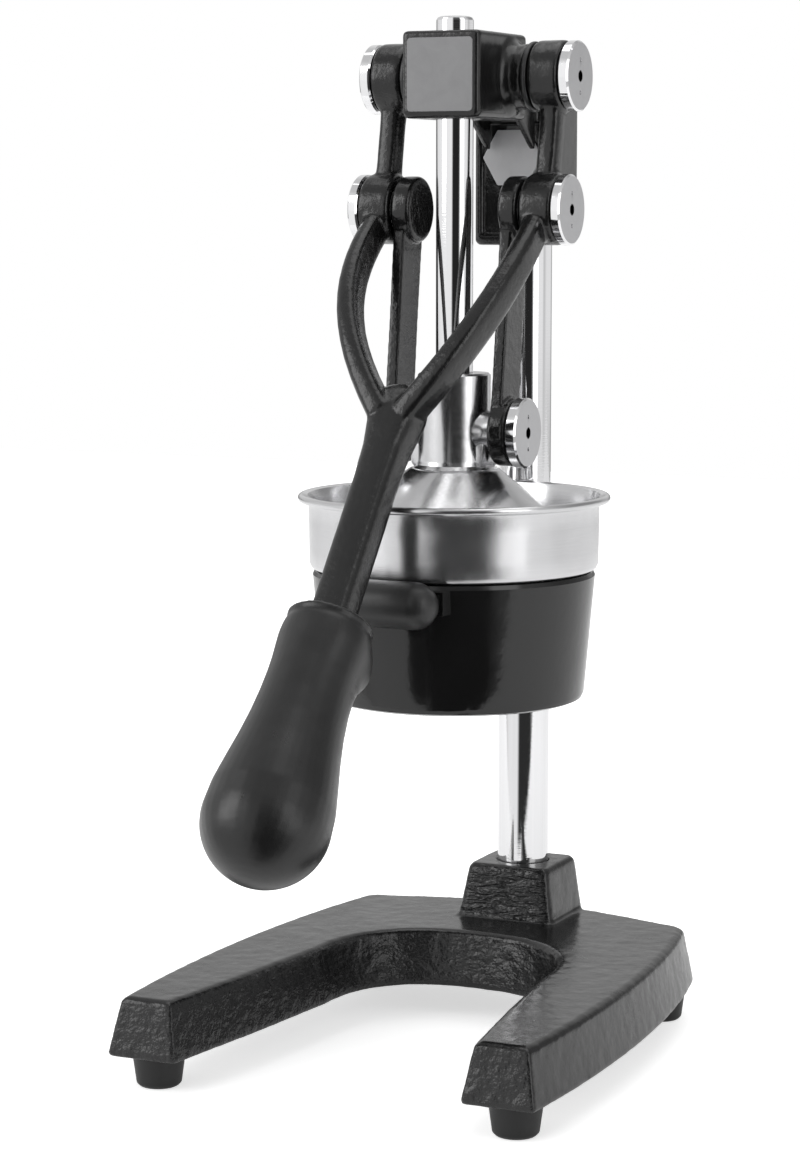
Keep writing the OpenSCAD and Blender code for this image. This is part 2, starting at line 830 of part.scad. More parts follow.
module fulcrum_bushes() {
    color("#b08d57") both_sides() difference() {
        bar_x_axis(boss1_in, boss1_out, fulcrum, bush_r);
        bar_x_axis(boss1_in - 1, boss1_out + 1, fulcrum, shaft_r + fit);
    }
}

// Stations of the grip: distance along the axis, half width, depth to the front, depth to the back
grip_mouth = [
    [0, 15.2, 15.2, 15.2], [0.4, 16.5, 16.4, 16.6], [1.3, 17.1, 17, 17.3], [2.3, 16.6, 16.5, 16.9],
    [2.9, 15.9, 15.9, 16.2], [3.5, 16.3, 16.1, 17], [5, 17, 16.6, 20.4], [8, 17.5, 16.7, 25.4],
    [11, 17.7, 16.8, 28], [14, 17.5, 16.9, 28.2], [18, 17.2, 17.1, 25], [22, 16.9, 17.3, 21],
    [28, 16.8, 17.8, 18],
    [36, 17.2, 18.3, 17], [46, 18.2, 19.3, 17.7], [56, 19.8, 20.7, 19.2], [66, 21.8, 22.4, 21.3],
    [76, 23.7, 23.9, 23.4]
];
grip_bulb = [
    for (a = [0 : 8 : 88])
        [grip_len + grip_r * sin(a), grip_r * cos(a), grip_r * cos(a), grip_r * cos(a)]
];
grip_hole = 70.2;      // depth of the hole for the shaft
grip_hole_r = 7.9;
grip_step = 8;         // depth to which the shaft keeps its full section
grip_stud_r = 3;
grip_stud_end = 92;

// Ring of the grip: half an ellipse to the front and another to the back
function grip_ring(s) = [
    for (a = [0 : 10 : 350])
        [s[1] * cos(a), (a < 180 ? s[2] : s[3]) * sin(a), s[0]]
];

// Ring round the shaft inside the grip, with a little room
function shaft_ring(z) = swept_ring([0, 0, z], [0, 0, 1], shaft_w + 0.6, shaft_h + 0.6);

module handle_grip() {
    color("#171717") translate(grip_point) rotate([180 - shaft_lean, 0, 0]) difference() {
        loft([for (s = concat(grip_mouth, grip_bulb)) grip_ring(s)]);
        loft([shaft_ring(-1), shaft_ring(grip_step)]);
        translate([0, 0, grip_step - 1]) cylinder(h = grip_hole - grip_step + 1, r = grip_hole_r);
        translate([0, 0, 60]) cylinder(h = grip_stud_end + 0.5 - 60, r = grip_stud_r + fit);
    }
}

// Hidden stud between the shaft and the grip
module grip_stud() {
    color("#7c7c7a") translate(grip_point) rotate([180 - shaft_lean, 0, 0])
        translate([0, 0, 52]) cylinder(h = grip_stud_end - 52, r = grip_stud_r);
}

module knuckle_screw() {
    color("#dcdcdc") union() {
        pin_cap(boss2_out, cap2_out, knuckle);
        bar_x_axis(boss2_in + 0.2, boss2_out + 1, knuckle, pin_r);
    }
}

module knuckle_washers() {
    color("#cfcfcf") both_sides() difference() {
        bar_x_axis(link_out + gap + 0.1, boss2_in, knuckle, 9.6);
        bar_x_axis(link_out - 1, boss2_in + 1, knuckle, pin_r + fit);
    }
}

// ---- links ----------------------------------------------------------------------------

carriage_pin = [0, carriage_z];

// Both links are the same casting: bosses from x0 to x1 and a thinner shank flush with their -X ends.
// The knuckle's blind hole opens towards +X where side is 1 and towards -X where side is -1.
module link(x0, side) {
    x1 = x0 + link_out - link_in;
    hole = side > 0 ? [x0 + 3, x1 + 1] : [x0 - 1, x1 - 3];
    lean = atan2(knuckle[0], knuckle[1] - carriage_z);
    color("#1b1b1c") difference() {
        union() {
            disc_x(x0, x1, knuckle, link_boss_r - 0.1, 1.1);
            disc_x(x0, x1, carriage_pin, link_boss_r, 1.1);
            translate([x0, carriage_pin[0], carriage_pin[1]]) rotate([-lean, 0, 0]) rotate([90, 0, 90])
                linear_extrude(height = link_plate) polygon([
                    [-10.5, 0],
                    [10.5, 0],
                    [link_shank / 2 + 0.3, 16],
                    [link_shank / 2, 44],
                    [link_shank / 2 + 0.3, link_len - 16],
                    [10, link_len],
                    [-10, link_len],
                    [-link_shank / 2 - 0.3, link_len - 16],
                    [-link_shank / 2, 44],
                    [-link_shank / 2 - 0.3, 16]
                ]);
        }
        bar_x_axis(x0 - 1, x1 + 1, carriage_pin, bush_r + fit);
        bar_x_axis(hole[0], hole[1], knuckle, pin_r + 0.6);
    }
}

module link_bush() {
    color("#b08d57") difference() {
        bar_x_axis(link_in, link_out, carriage_pin, bush_r);
        bar_x_axis(link_in - 1, link_out + 1, carriage_pin, pin_r + fit);
    }
}

// ---- press ----------------------------------------------------------------------------

module press_rod() {
    color("#dcdcdc") translate([0, 0, rod_low]) rotate_extrude() polygon([
        [0, 0],
        [rod_r - 2.5, 0],
        [rod_r - 2.5, bell_top - rod_low],
        [rod_r, bell_top - rod_low],
        [rod_r, rod_top - rod_low - 1.6],
        [rod_r - 0.5, rod_top - rod_low - 0.5],
        [rod_r - 1.6, rod_top - rod_low],
        [0, rod_top - rod_low]
    ]);
}

// Flared neck of the carriage, right side, on a foot that stands on the bell
module carriage_neck() {
    translate([0, carriage_pin[0], carriage_pin[1]]) rotate([0, 90, 0]) rotate_extrude() polygon([
        [0, 5],
        [neck_r + 2.8, 5],
        [neck_r + 2, 9],
        [neck_r + 0.9, 12],
        [neck_r + 0.2, 14.8],
        [neck_r, 16.2],
        [neck_r, neck_x - 0.7],
        [neck_r - 0.7, neck_x],
        [0, neck_x]
    ]);
    loft([
        at_height(rounded_plan(5.2, 6.6, 2.5, 10.2, 0), bell_top),
        at_height(rounded_plan(5.9, 7, 2.5, 10.9, 0), bell_top + 2),
        at_height(rounded_plan(6.3, 7.4, 2.5, 11.5, 0), carriage_z - 6),
        at_height(rounded_plan(6.3, 7, 2.5, 11.5, 0), carriage_z)
    ]);
}

// Chrome hub on the rod with a neck for each link
module press_carriage() {
    color("#d4d4d4") difference() {
        union() {
            translate([0, 0, bell_top]) rotate_extrude() polygon([
                [0, 0],
                [hub_r + 1.6, 0],
                [hub_r + 0.4, 1.4],
                [hub_r, 3.4],
                [hub_r, hub_top - bell_top - 0.8],
                [hub_r - 0.8, hub_top - bell_top],
                [0, hub_top - bell_top]
            ]);
            both_sides() carriage_neck();
        }
        translate([0, 0, bell_top - 1]) cylinder(h = 60, r = rod_r + fit);
        bar_x_axis(-neck_x - 1, -rod_r - 0.5, carriage_pin, pin_r + fit);
        bar_x_axis(rod_r + 0.5, neck_x + 1, carriage_pin, pin_r + fit);
        bar_y_axis(0, hub_r + 5, 0, hub_top - 9, 3 + fit);
    }
}

module carriage_set_screw() {
    color("#707070") grub_screw(rod_r + fit, hub_r - 0.6, 0, hub_top - 9, 3);
}

// Flat-faceted bell, hollow below, with a hole for the rod's spigot
module press_bell() {
    bore = (rod_r - 2.5 + fit) / cos(180 / bell_facets) + 0.02;
    color("#d0d0d0") rotate([0, 0, bell_turn]) rotate_extrude($fn = bell_facets) polygon([
        [bore, bell_top - bell_wall],
        [bell_top_r - bell_wall + 1.5, bell_top - bell_wall],
        [bell_r - bell_wall, bell_mid_z - 1.5],
        [bell_r - bell_wall, bell_low],
        [bell_r - 0.8, bell_low],
        [bell_r, bell_low + 0.8],
        [bell_r, bell_mid_z],
        [bell_top_r + 1.2, bell_top - 1],
        [bell_top_r - 0.4, bell_top],
        [bore, bell_top]
    ]);
}

module bell_nut() {
    color("#bdbdbb") translate([0, 0, bell_top - bell_wall - nut_h]) difference() {
        cylinder(h = nut_h, r = nut_r, $fn = 6);
        translate([0, 0, -1]) cylinder(h = nut_h + 2, r = rod_r - 2.5 + fit);
    }
}

module carriage_screw() {
    color("#dcdcdc") union() {
        pin_cap(cap3_in, cap3_out, carriage_pin);
        bar_x_axis(rod_r + 0.8, cap3_in + 1, carriage_pin, pin_r);
    }
}

// ---- nodes ----------------------------------------------------------------------------

place() base_casting();
place() foot(foot_places[0]);  // foot_front_left
place() foot(foot_places[1]);  // foot_front_right
place() foot(foot_places[2]);  // foot_rear_left
place() foot(foot_places[3]);  // foot_rear_right
place() foot_screws();
place() column();
place() column_bolt();
place() column_washer();
place() socket_screw();
place() funnel_bowl();
place() bowl_clamp_screw();
place() strainer_cup();
place() reamer_cone();
place() stop_bumper();
place() bumper_stud();
place() head_casting();
place() head_badge();
place() head_set_screws();
place() rod_bush(head_top - bush_inset - bush_len);  // rod_bush_upper
place() rod_bush(head_low + bush_inset);  // rod_bush_lower
place() fulcrum_shaft();
place() fulcrum_washers();
place() mirror([1, 0, 0]) fulcrum_cap();  // fulcrum_cap_left
place() fulcrum_cap();  // fulcrum_cap_right
place() handle_casting();
place() fulcrum_bushes();
place() handle_grip();
place() grip_stud();
place() mirror([1, 0, 0]) knuckle_screw();  // knuckle_screw_left
place() knuckle_screw();  // knuckle_screw_right
place() knuckle_washers();
place() link(-link_out, -1);  // link_left
place() link(link_in, 1);  // link_right
place() mirror([1, 0, 0]) link_bush();  // link_bush_left
place() link_bush();  // link_bush_right
place() press_rod();
place() press_carriage();
place() carriage_set_screw();
place() press_bell();
place() bell_nut();
place() mirror([1, 0, 0]) carriage_screw();  // carriage_screw_left
place() carriage_screw();  // carriage_screw_right
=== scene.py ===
"""Visual model of the lever citrus juice press: finishes, cast surfaces, camera and studio."""
import json
import math

import bmesh
import bpy
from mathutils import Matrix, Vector


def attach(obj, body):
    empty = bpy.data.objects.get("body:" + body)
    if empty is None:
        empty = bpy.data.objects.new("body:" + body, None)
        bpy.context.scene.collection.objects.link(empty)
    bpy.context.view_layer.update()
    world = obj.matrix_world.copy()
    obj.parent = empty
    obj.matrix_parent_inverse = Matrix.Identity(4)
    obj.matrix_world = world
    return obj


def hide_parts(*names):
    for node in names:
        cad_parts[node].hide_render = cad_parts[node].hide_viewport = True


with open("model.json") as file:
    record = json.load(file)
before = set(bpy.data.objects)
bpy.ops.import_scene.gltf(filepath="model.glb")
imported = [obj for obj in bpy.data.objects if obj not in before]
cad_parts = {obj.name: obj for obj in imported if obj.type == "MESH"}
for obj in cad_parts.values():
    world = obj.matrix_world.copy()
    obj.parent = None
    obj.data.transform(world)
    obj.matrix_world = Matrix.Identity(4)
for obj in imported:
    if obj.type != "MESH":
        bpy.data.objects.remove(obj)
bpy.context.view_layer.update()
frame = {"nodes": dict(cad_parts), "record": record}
NODES = frame["nodes"]

# Row frame, millimetres: the rod's axis lies at Y = ROD_Y
ROD_Y = 47.529
FULCRUM = (20.3 + ROD_Y, 394.0)
KNUCKLE = (10.5 + ROD_Y, 341.0)
CARRIAGE = (ROD_Y, 252.0)


# ---- node helpers ---------------------------------------------------------------------

class Tree:
    """A node tree built step by step; values are sockets or plain numbers."""

    def __init__(self, owner):
        owner.use_nodes = True
        self.nt = owner.node_tree
        self.nt.nodes.clear()

    def put(self, socket, value):
        if isinstance(value, bpy.types.NodeSocket):
            self.nt.links.new(value, socket)
        else:
            socket.default_value = value

    def node(self, kind, out=0, **values):
        n = self.nt.nodes.new(kind)
        for key, value in values.items():
            if key.startswith("p_"):
                setattr(n, key[2:], value)
        for key, value in values.items():
            if not key.startswith("p_"):
                name = key.replace("_", " ")
                self.put(n.inputs[int(key[1:])] if key[1:].isdigit() else n.inputs[name], value)
        return n.outputs[out]

    def math(self, op, a, b=0.0):
        return self.node("ShaderNodeMath", p_operation=op, i0=a, i1=b)

    def add(self, *terms):
        total = terms[0]
        for term in terms[1:]:
            total = self.math("ADD", total, term)
        return total

    def times(self, a, b):
        return self.math("MULTIPLY", a, b)

    def split(self, vector):
        n = self.nt.nodes.new("ShaderNodeSeparateXYZ")
        self.nt.links.new(vector, n.inputs[0])
        return n.outputs

    def remap(self, value, a, b, c, d):
        return self.node("ShaderNodeMapRange", Value=value, From_Min=a, From_Max=b, To_Min=c, To_Max=d)

    def mix(self, fac, a, b):
        return self.node("ShaderNodeMix", out=2, p_data_type="RGBA", i0=fac, i6=a, i7=b)

    def ramp(self, value, stops):
        """Grey values over 0 to 1, at most 32 stops."""
        n = self.nt.nodes.new("ShaderNodeValToRGB")
        self.put(n.inputs[0], value)
        elements = n.color_ramp.elements
        while len(elements) > 1:
            elements.remove(elements[-1])
        for k, (place, level) in enumerate(stops):
            e = elements[0] if k == 0 else elements.new(place)
            e.position = place
            e.color = (level, level, level, 1)
        return n.outputs[0]


class Mat(Tree):
    """Principled material in the object's own coordinates, metres."""

    def __init__(self, name):
        self.mat = bpy.data.materials.new(name)
        super().__init__(self.mat)
        self.out = self.nt.nodes.new("ShaderNodeOutputMaterial")
        self.bsdf = self.nt.nodes.new("ShaderNodeBsdfPrincipled")
        self.nt.links.new(self.bsdf.outputs["BSDF"], self.out.inputs["Surface"])
        self.coord = self.nt.nodes.new("ShaderNodeTexCoord").outputs["Object"]
        self.normal = self.split(self.nt.nodes.new("ShaderNodeNewGeometry").outputs["Normal"])
        self.place = self.split(self.coord)

    def set(self, **values):
        for key, value in values.items():
            self.put(self.bsdf.inputs[key.replace("_", " ")], value)

    def scaled(self, sx, sy, sz, source=None):
        return self.node("ShaderNodeMapping", Vector=source or self.coord, Scale=(sx, sy, sz))

    def noise(self, scale, detail=2.0, rough=0.5, vector=None, distortion=0.0):
        return self.node("ShaderNodeTexNoise", Vector=vector or self.coord, Scale=scale, Detail=detail,
                         Roughness=rough, Distortion=distortion)

    def bump(self, height, strength, distance):
        return self.node("ShaderNodeBump", Height=height, Strength=strength, Distance=distance)

    def roughness_of(self, haze, smooth, rough):
        """Roughness between two values, following the middle of a noise."""
        return self.remap(haze, 0.3, 0.7, smooth, rough)

    def cast_relief(self, top, side):
        """Bump strength of a sand casting: 1 on the walls, less on faces that look up or outwards."""
        outward = self.times(self.normal[0], self.math("SIGN", self.place[0]))
        return self.times(self.remap(self.normal[2], 0.35, 0.9, 1.0, top),
                          self.remap(outward, 0.3, 0.8, 1.0, side))

    def cast_shine(self, pits, patch, rough):
        """Roughness of enamel that follows both its pits and its larger patches."""
        return self.remap(self.add(self.times(pits, 0.5), self.times(patch, 0.5)), 0.35, 0.65, *rough)


def grey(v):
    return (v, v, v * 1.02, 1.0)


# Noise scales of the castings, per metre
LUMPS, PITS, SPECKS, PATCHES = 190, 560, 1800, 38
ENAMEL_DARK, ENAMEL_LIGHT = grey(0.006), grey(0.012)


def enamel(name, rough, coarse, fine, top=0.1, side=0.15):
    """Black enamel over a sand casting: calm on faces that look up or outwards, rough on the others."""
    m = Mat(name)
    lumps = m.noise(LUMPS, 3.0, 0.5)
    pits = m.noise(PITS, 3.0, 0.55)
    specks = m.noise(SPECKS, 2.0, 0.5)
    patch = m.noise(PATCHES, 2.0, 0.5)
    rise = m.add(m.times(lumps, coarse), m.times(pits, fine), m.times(specks, 0.1 * fine))
    m.set(Base_Color=m.mix(patch, ENAMEL_DARK, ENAMEL_LIGHT), Metallic=0.0,
          Roughness=m.cast_shine(pits, patch, rough), Specular_IOR_Level=0.5,
          Normal=m.bump(rise, m.cast_relief(top, side), 0.0011))
    return m.mat


def ridged_enamel(name):
    """The base's enamel, with the coarse level ridges of the socket block's front."""
    m = Mat(name)
    lumps = m.noise(LUMPS, 3.0, 0.5)
    pits = m.noise(PITS, 3.0, 0.55)
    ridges = m.noise(1.0, 3.0, 0.55, vector=m.scaled(95, 95, 420), distortion=0.6)
    patch = m.noise(PATCHES, 2.0, 0.5)
    above_legs = m.remap(m.place[2], 0.034, 0.038, 0.0, 1.0)
    facing_front = m.remap(m.normal[1], -0.5, -0.8, 0.0, 1.0)
    block = m.times(above_legs, facing_front)
    cast_skin = m.add(m.times(lumps, 0.95), m.times(pits, 0.35))
    calmer = m.math("SUBTRACT", 1.0, m.times(block, 0.5))
    rise = m.add(m.times(cast_skin, calmer), m.times(ridges, m.times(block, 1.5)))
    m.set(Base_Color=m.mix(patch, ENAMEL_DARK, ENAMEL_LIGHT), Metallic=0.0,
          Roughness=m.cast_shine(pits, patch, (0.15, 0.28)), Specular_IOR_Level=0.5,
          Normal=m.bump(rise, m.cast_relief(0.08, 0.12), 0.0013))
    return m.mat


def smooth_black(name, dark, light, rough):
    """Smooth black finish, gloss or satin, with faint orange peel."""
    m = Mat(name)
    peel = m.noise(320, 2.0, 0.45)
    patch = m.noise(30, 2.0, 0.5)
    m.set(Base_Color=m.mix(patch, grey(dark), grey(light)), Roughness=m.roughness_of(patch, *rough),
          Specular_IOR_Level=0.55, Normal=m.bump(peel, 0.12, 0.0004))
    return m.mat


def satin_plate(name, dark, light):
    """Blank plate: satin grey with faint level brushing and a few soft stains."""
    m = Mat(name)
    brush = m.noise(1.0, 3.0, 0.6, vector=m.scaled(90, 90, 1500))
    stain = m.noise(120, 3.0, 0.55, distortion=0.6)
    m.set(Base_Color=m.mix(stain, grey(dark), grey(light)), Metallic=0.15,
          Roughness=m.roughness_of(stain, 0.38, 0.5), Normal=m.bump(brush, 0.1, 0.0002))
    return m.mat


def rubber(name, dark, light, rough):
    """Satin rubber with a fine moulded grain and soft scuffs."""
    m = Mat(name)
    grain = m.noise(2600, 3.0, 0.6)
    scuff = m.noise(55, 4.0, 0.6, distortion=0.8)
    m.set(Base_Color=m.mix(scuff, grey(dark), grey(light)),
          Roughness=m.roughness_of(scuff, *rough), Specular_IOR_Level=0.5,
          Sheen_Weight=0.06, Sheen_Roughness=0.5,
          Normal=m.bump(grain, 0.2, 0.00025))
    return m.mat


def chrome_bar(name):
    """Ground and chromed bar: faint lines round it and slight streaks along it."""
    m = Mat(name)
    rings = m.noise(1.0, 2.0, 0.5, vector=m.scaled(60, 60, 2400))
    streak = m.noise(1.0, 2.0, 0.5, vector=m.scaled(900, 900, 12))
    m.set(Base_Color=m.mix(streak, (0.76, 0.76, 0.77, 1), (0.83, 0.83, 0.84, 1)), Metallic=1.0,
          Roughness=m.roughness_of(rings, 0.035, 0.075),
          Normal=m.bump(rings, 0.04, 0.0002))
    return m.mat


def chrome_cast(name):
    """Plated casting with a satin polish: bright, very slightly wavy."""
    m = Mat(name)
    wave = m.noise(95, 2.0, 0.4)
    haze = m.noise(700, 3.0, 0.5)
    m.set(Base_Color=(0.68, 0.68, 0.69, 1), Metallic=1.0, Roughness=m.roughness_of(haze, 0.19, 0.26),
          Normal=m.bump(wave, 0.12, 0.0012))
    return m.mat


DIMPLE_OFFSET = 0.0065        # from a cap's centre to its two spanner dimples, metres


def turned_cap(name, centre):
    """Pin cap: satin turned face with rings about its axis, polished rim, and painted shade darkening
    its hex socket and two spanner dimples.
    """
    m = Mat(name)
    dy = m.math("SUBTRACT", m.place[1], centre[0] / 1000)
    dz = m.math("SUBTRACT", m.place[2], centre[1] / 1000)
    radius = m.math("SQRT", m.add(m.times(dy, dy), m.times(dz, dz)))
    rings = m.math("SINE", m.add(m.times(radius, 9000.0), m.times(m.noise(300, 2.0), 2.0)))
    face = m.remap(m.math("ABSOLUTE", m.normal[0]), 0.8, 0.95, 0.0, 1.0)
    haze = m.noise(420, 3.0, 0.55)
    off_dimple = m.math("SUBTRACT", m.math("ABSOLUTE", dz), DIMPLE_OFFSET)
    dimple = m.math("SQRT", m.add(m.times(off_dimple, off_dimple), m.times(dy, dy)))
    # Painted shade: the hex socket and the two spanner dimples are darkened in the base colour, standing
    # in for the shade in those recesses
    socket_shade = m.remap(radius, 0.00225, 0.0025, 0.82, 0.0)
    dimple_shade = m.remap(dimple, 0.0007, 0.0009, 0.6, 0.0)
    recess_shade = m.add(socket_shade, dimple_shade)
    bright = m.mix(face, (0.86, 0.86, 0.87, 1), (0.52, 0.52, 0.53, 1))
    m.set(Base_Color=m.mix(recess_shade, bright, (0.01, 0.01, 0.01, 1)), Metallic=1.0,
          Roughness=m.add(m.times(face, 0.28), m.roughness_of(haze, 0.04, 0.09)),
          Normal=m.bump(rings, m.times(face, 0.05), 0.0002))
    return m.mat


def brushed_cup(name):
    """Spun stainless, brushed round the axis."""
    m = Mat(name)
    angle = m.math("ARCTAN2", m.math("SUBTRACT", m.place[1], ROD_Y / 1000), m.place[0])
    band = m.node("ShaderNodeCombineXYZ", i0=m.times(angle, 2.2), i1=m.times(m.place[2], 2600.0))
    lines = m.noise(1.0, 3.0, 0.6, vector=band)
    haze = m.noise(60, 3.0, 0.5)
    tangent = m.nt.nodes.new("ShaderNodeTangent")
    tangent.direction_type = "RADIAL"
    tangent.axis = "Z"
    m.set(Base_Color=m.mix(lines, (0.60, 0.60, 0.61, 1), (0.70, 0.70, 0.71, 1)), Metallic=1.0,
          Roughness=m.roughness_of(haze, 0.21, 0.27), Anisotropic=0.85, Anisotropic_Rotation=0.25,
          Tangent=tangent.outputs[0],
          Normal=m.bump(lines, 0.10, 0.0002))
    return m.mat


def plain_steel(name, value, rough, metallic):
    """Plated or blackened steel with a fine haze."""
    m = Mat(name)
    haze = m.noise(500, 3.0, 0.6)
    m.set(Base_Color=m.mix(haze, grey(value * 0.85), grey(value * 1.1)), Metallic=metallic,
          Roughness=m.roughness_of(haze, rough * 0.8, rough * 1.25), Normal=m.bump(haze, 0.08, 0.0002))
    return m.mat


def bronze(name):
    """Sintered bronze."""
    m = Mat(name)
    haze = m.noise(900, 3.0, 0.6)
    m.set(Base_Color=m.mix(haze, (0.24, 0.21, 0.17, 1), (0.33, 0.29, 0.23, 1)), Metallic=1.0,
          Roughness=m.roughness_of(haze, 0.3, 0.5), Normal=m.bump(haze, 0.1, 0.0002))
    return m.mat


MATS = {
    "enamel_base": ridged_enamel("enamel_base"),
    "enamel_head": enamel("enamel_head", (0.14, 0.26), coarse=0.25, fine=0.12),
    "enamel_handle": enamel("enamel_handle", (0.17, 0.28), coarse=0.22, fine=0.16, top=0.7, side=0.7),
    "enamel_link": enamel("enamel_link", (0.12, 0.22), coarse=0.25, fine=0.14, top=0.7, side=0.7),
    "enamel_bowl": smooth_black("enamel_bowl", 0.006, 0.010, (0.09, 0.16)),
    "rubber_foot": rubber("rubber_foot", 0.004, 0.009, (0.45, 0.6)),
    "grip_rubber": rubber("grip_rubber", 0.006, 0.012, (0.27, 0.35)),
    "bumper_plastic": smooth_black("bumper_plastic", 0.012, 0.02, (0.34, 0.44)),
    "grey_pad": satin_plate("grey_pad", 0.21, 0.30),
    "chrome_bar": chrome_bar("chrome_bar"),
    "chrome_cast": chrome_cast("chrome_cast"),
    "brushed_stainless": brushed_cup("brushed_stainless"),
    "zinc_steel": plain_steel("zinc_steel", 0.55, 0.3, 1.0),
    "black_steel": plain_steel("black_steel", 0.05, 0.32, 0.6),
    "bronze": bronze("bronze"),
}
CAPS = {
    "fulcrum_cap_left": FULCRUM, "fulcrum_cap_right": FULCRUM,
    "knuckle_screw_left": KNUCKLE, "knuckle_screw_right": KNUCKLE, "knuckle_washers": KNUCKLE,
    "carriage_screw_left": CARRIAGE, "carriage_screw_right": CARRIAGE,
}
CAP_MATS = {centre: turned_cap("cap_%d" % centre[1], centre) for centre in (FULCRUM, KNUCKLE, CARRIAGE)}


def wear(obj, material):
    obj.data.materials.clear()
    obj.data.materials.append(material)
    for poly in obj.data.polygons:
        poly.material_index = 0


SLOT = {p["node"]: p["material_slot"] for p in frame["record"]["subparts"]}
for node_name, obj in NODES.items():
    if node_name in CAPS:
        wear(obj, CAP_MATS[CAPS[node_name]])
    else:
        wear(obj, MATS[SLOT[node_name]])
# The six-sided pad sits in shade, so its colour is painted paler than the plate on the head: painted
# light that makes up for that shade
wear(NODES["head_badge"], satin_plate("badge_pad", 0.5, 0.65))


# ---- pieces ---------------------------------------------------------------------------

def smooth_all(obj):
    for poly in obj.data.polygons:
        poly.use_smooth = True


def modified(obj, kind, **values):
    """Adds a modifier with the given settings."""
    mod = obj.modifiers.new(kind.lower(), kind)
    for key, value in values.items():
        setattr(mod, key, value)


def applied(obj):
    """Bakes the modifiers into the mesh."""
    graph = bpy.context.evaluated_depsgraph_get()
    mesh = bpy.data.meshes.new_from_object(obj.evaluated_get(graph))
    old = obj.data
    obj.modifiers.clear()
    obj.data = mesh
    bpy.data.meshes.remove(old)


def copy_of(node_name, name):
    src = NODES[node_name]
    obj = bpy.data.objects.new(name, src.data.copy())
    bpy.context.scene.collection.objects.link(obj)
    return obj


def cast(node_name, voxel, rounds, lumps=0.0, size=0.0):
    """Stand-in for a CAD casting: same form, eased edges and a slightly uneven skin. The voxels, the
    height of the lumps and their size are in millimetres."""
    obj = copy_of(node_name, node_name + "_skin")
    modified(obj, "REMESH", mode="VOXEL", voxel_size=voxel / 1000, use_smooth_shade=True)
    modified(obj, "SMOOTH", factor=0.5, iterations=rounds)
    if lumps:
        tex = bpy.data.textures.new(node_name + "_lumps", "CLOUDS")
        tex.noise_scale = size / 1000
        tex.noise_depth = 2
        modified(obj, "DISPLACE", texture=tex, strength=lumps / 1000, mid_level=0.5,
                 texture_coords="LOCAL")
    applied(obj)
    wear(obj, MATS[SLOT[node_name]])
    smooth_all(obj)
    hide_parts(node_name)
    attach(obj, BODY[node_name])


BODY = {n: b for b, members in frame["record"]["behaviour"]["bodies"].items() for n in members}
cast("base_casting", 1.0, 6, 0.3, 6.0)
cast("head_casting", 0.7, 6, 0.08, 5.0)
cast("handle_casting", 0.7, 10, 0.15, 6.0)
cast("link_left", 0.6, 6, 0.12, 4.0)
cast("link_right", 0.6, 6, 0.1, 4.0)
cast("handle_grip", 0.8, 8)

FACE_Y = ROD_Y - 15.0


def face_plate(name, centre_z, size, radius, thick, sunk):
    """Blank rounded plate on the head's front face, let into it by a little. Millimetres."""
    bm = bmesh.new()
    corners = []
    for qx, qz, start in ((1, 1, 0), (-1, 1, 90), (-1, -1, 180), (1, -1, 270)):
        for k in range(5):
            a = math.radians(start + 22.5 * k)
            x = qx * (size[0] / 2 - radius) + radius * math.cos(a)
            z = centre_z + qz * (size[1] / 2 - radius) + radius * math.sin(a)
            corners.append(bm.verts.new((x / 1000, (FACE_Y + sunk) / 1000, z / 1000)))
    side = bm.faces.new(corners)
    grown = bmesh.ops.extrude_face_region(bm, geom=[side])
    moved = [v for v in grown["geom"] if isinstance(v, bmesh.types.BMVert)]
    bmesh.ops.translate(bm, verts=moved, vec=(0, -(thick + sunk) / 1000, 0))
    bmesh.ops.recalc_face_normals(bm, faces=bm.faces[:])
    mesh = bpy.data.meshes.new(name)
    bm.to_mesh(mesh)
    bm.free()
    obj = bpy.data.objects.new(name, mesh)
    bpy.context.scene.collection.objects.link(obj)
    modified(obj, "BEVEL", width=0.00015, segments=1, limit_method="ANGLE", angle_limit=math.radians(40))
    wear(obj, MATS["grey_pad"])
    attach(obj, "frame")


face_plate("head_face_plate", 394.2, (28.4, 29.0), radius=1.6, thick=0.3, sunk=0.3)

# Small eased edges on the CAD pieces that show, with normals that keep long faces straight
EDGE_WIDTH = 0.00035
EDGE_ANGLE = math.radians(28)
for node_name, obj in NODES.items():
    if not obj.hide_render:
        modified(obj, "WELD", merge_threshold=1e-6)
        modified(obj, "BEVEL", width=EDGE_WIDTH, segments=2, limit_method="ANGLE",
                 angle_limit=EDGE_ANGLE)
        modified(obj, "WEIGHTED_NORMAL", mode="FACE_AREA", weight=50, keep_sharp=True)
        smooth_all(obj)


# ---- camera ---------------------------------------------------------------------------

cam_data = bpy.data.cameras.new("camera")
cam = bpy.data.objects.new("camera", cam_data)
bpy.context.scene.collection.objects.link(cam)
bpy.context.scene.camera = cam
az, pitch = math.radians(25.0), math.radians(7.22)
look = Vector((-math.sin(az) * math.cos(pitch), math.cos(az) * math.cos(pitch), -math.sin(pitch)))
cam.location = (0.4961, -1.1159 + ROD_Y / 1000, 0.3447)
cam.rotation_mode = "QUATERNION"
cam.rotation_quaternion = look.to_track_quat("-Z", "Y")
cam_data.lens = 93.17
cam_data.sensor_width = 36.0
cam_data.clip_start, cam_data.clip_end = 0.05, 50.0


# ---- studio ---------------------------------------------------------------------------

def area(name, location, target, size, power):
    """Rectangular lamp that looks at its target."""
    data = bpy.data.lights.new(name, "AREA")
    data.shape = "RECTANGLE"
    data.size, data.size_y = size
    data.energy = power
    obj = bpy.data.objects.new(name, data)
    bpy.context.scene.collection.objects.link(obj)
    obj.location = location
    obj.rotation_mode = "QUATERNION"
    obj.rotation_quaternion = (Vector(target) - Vector(location)).to_track_quat("-Z", "Y")


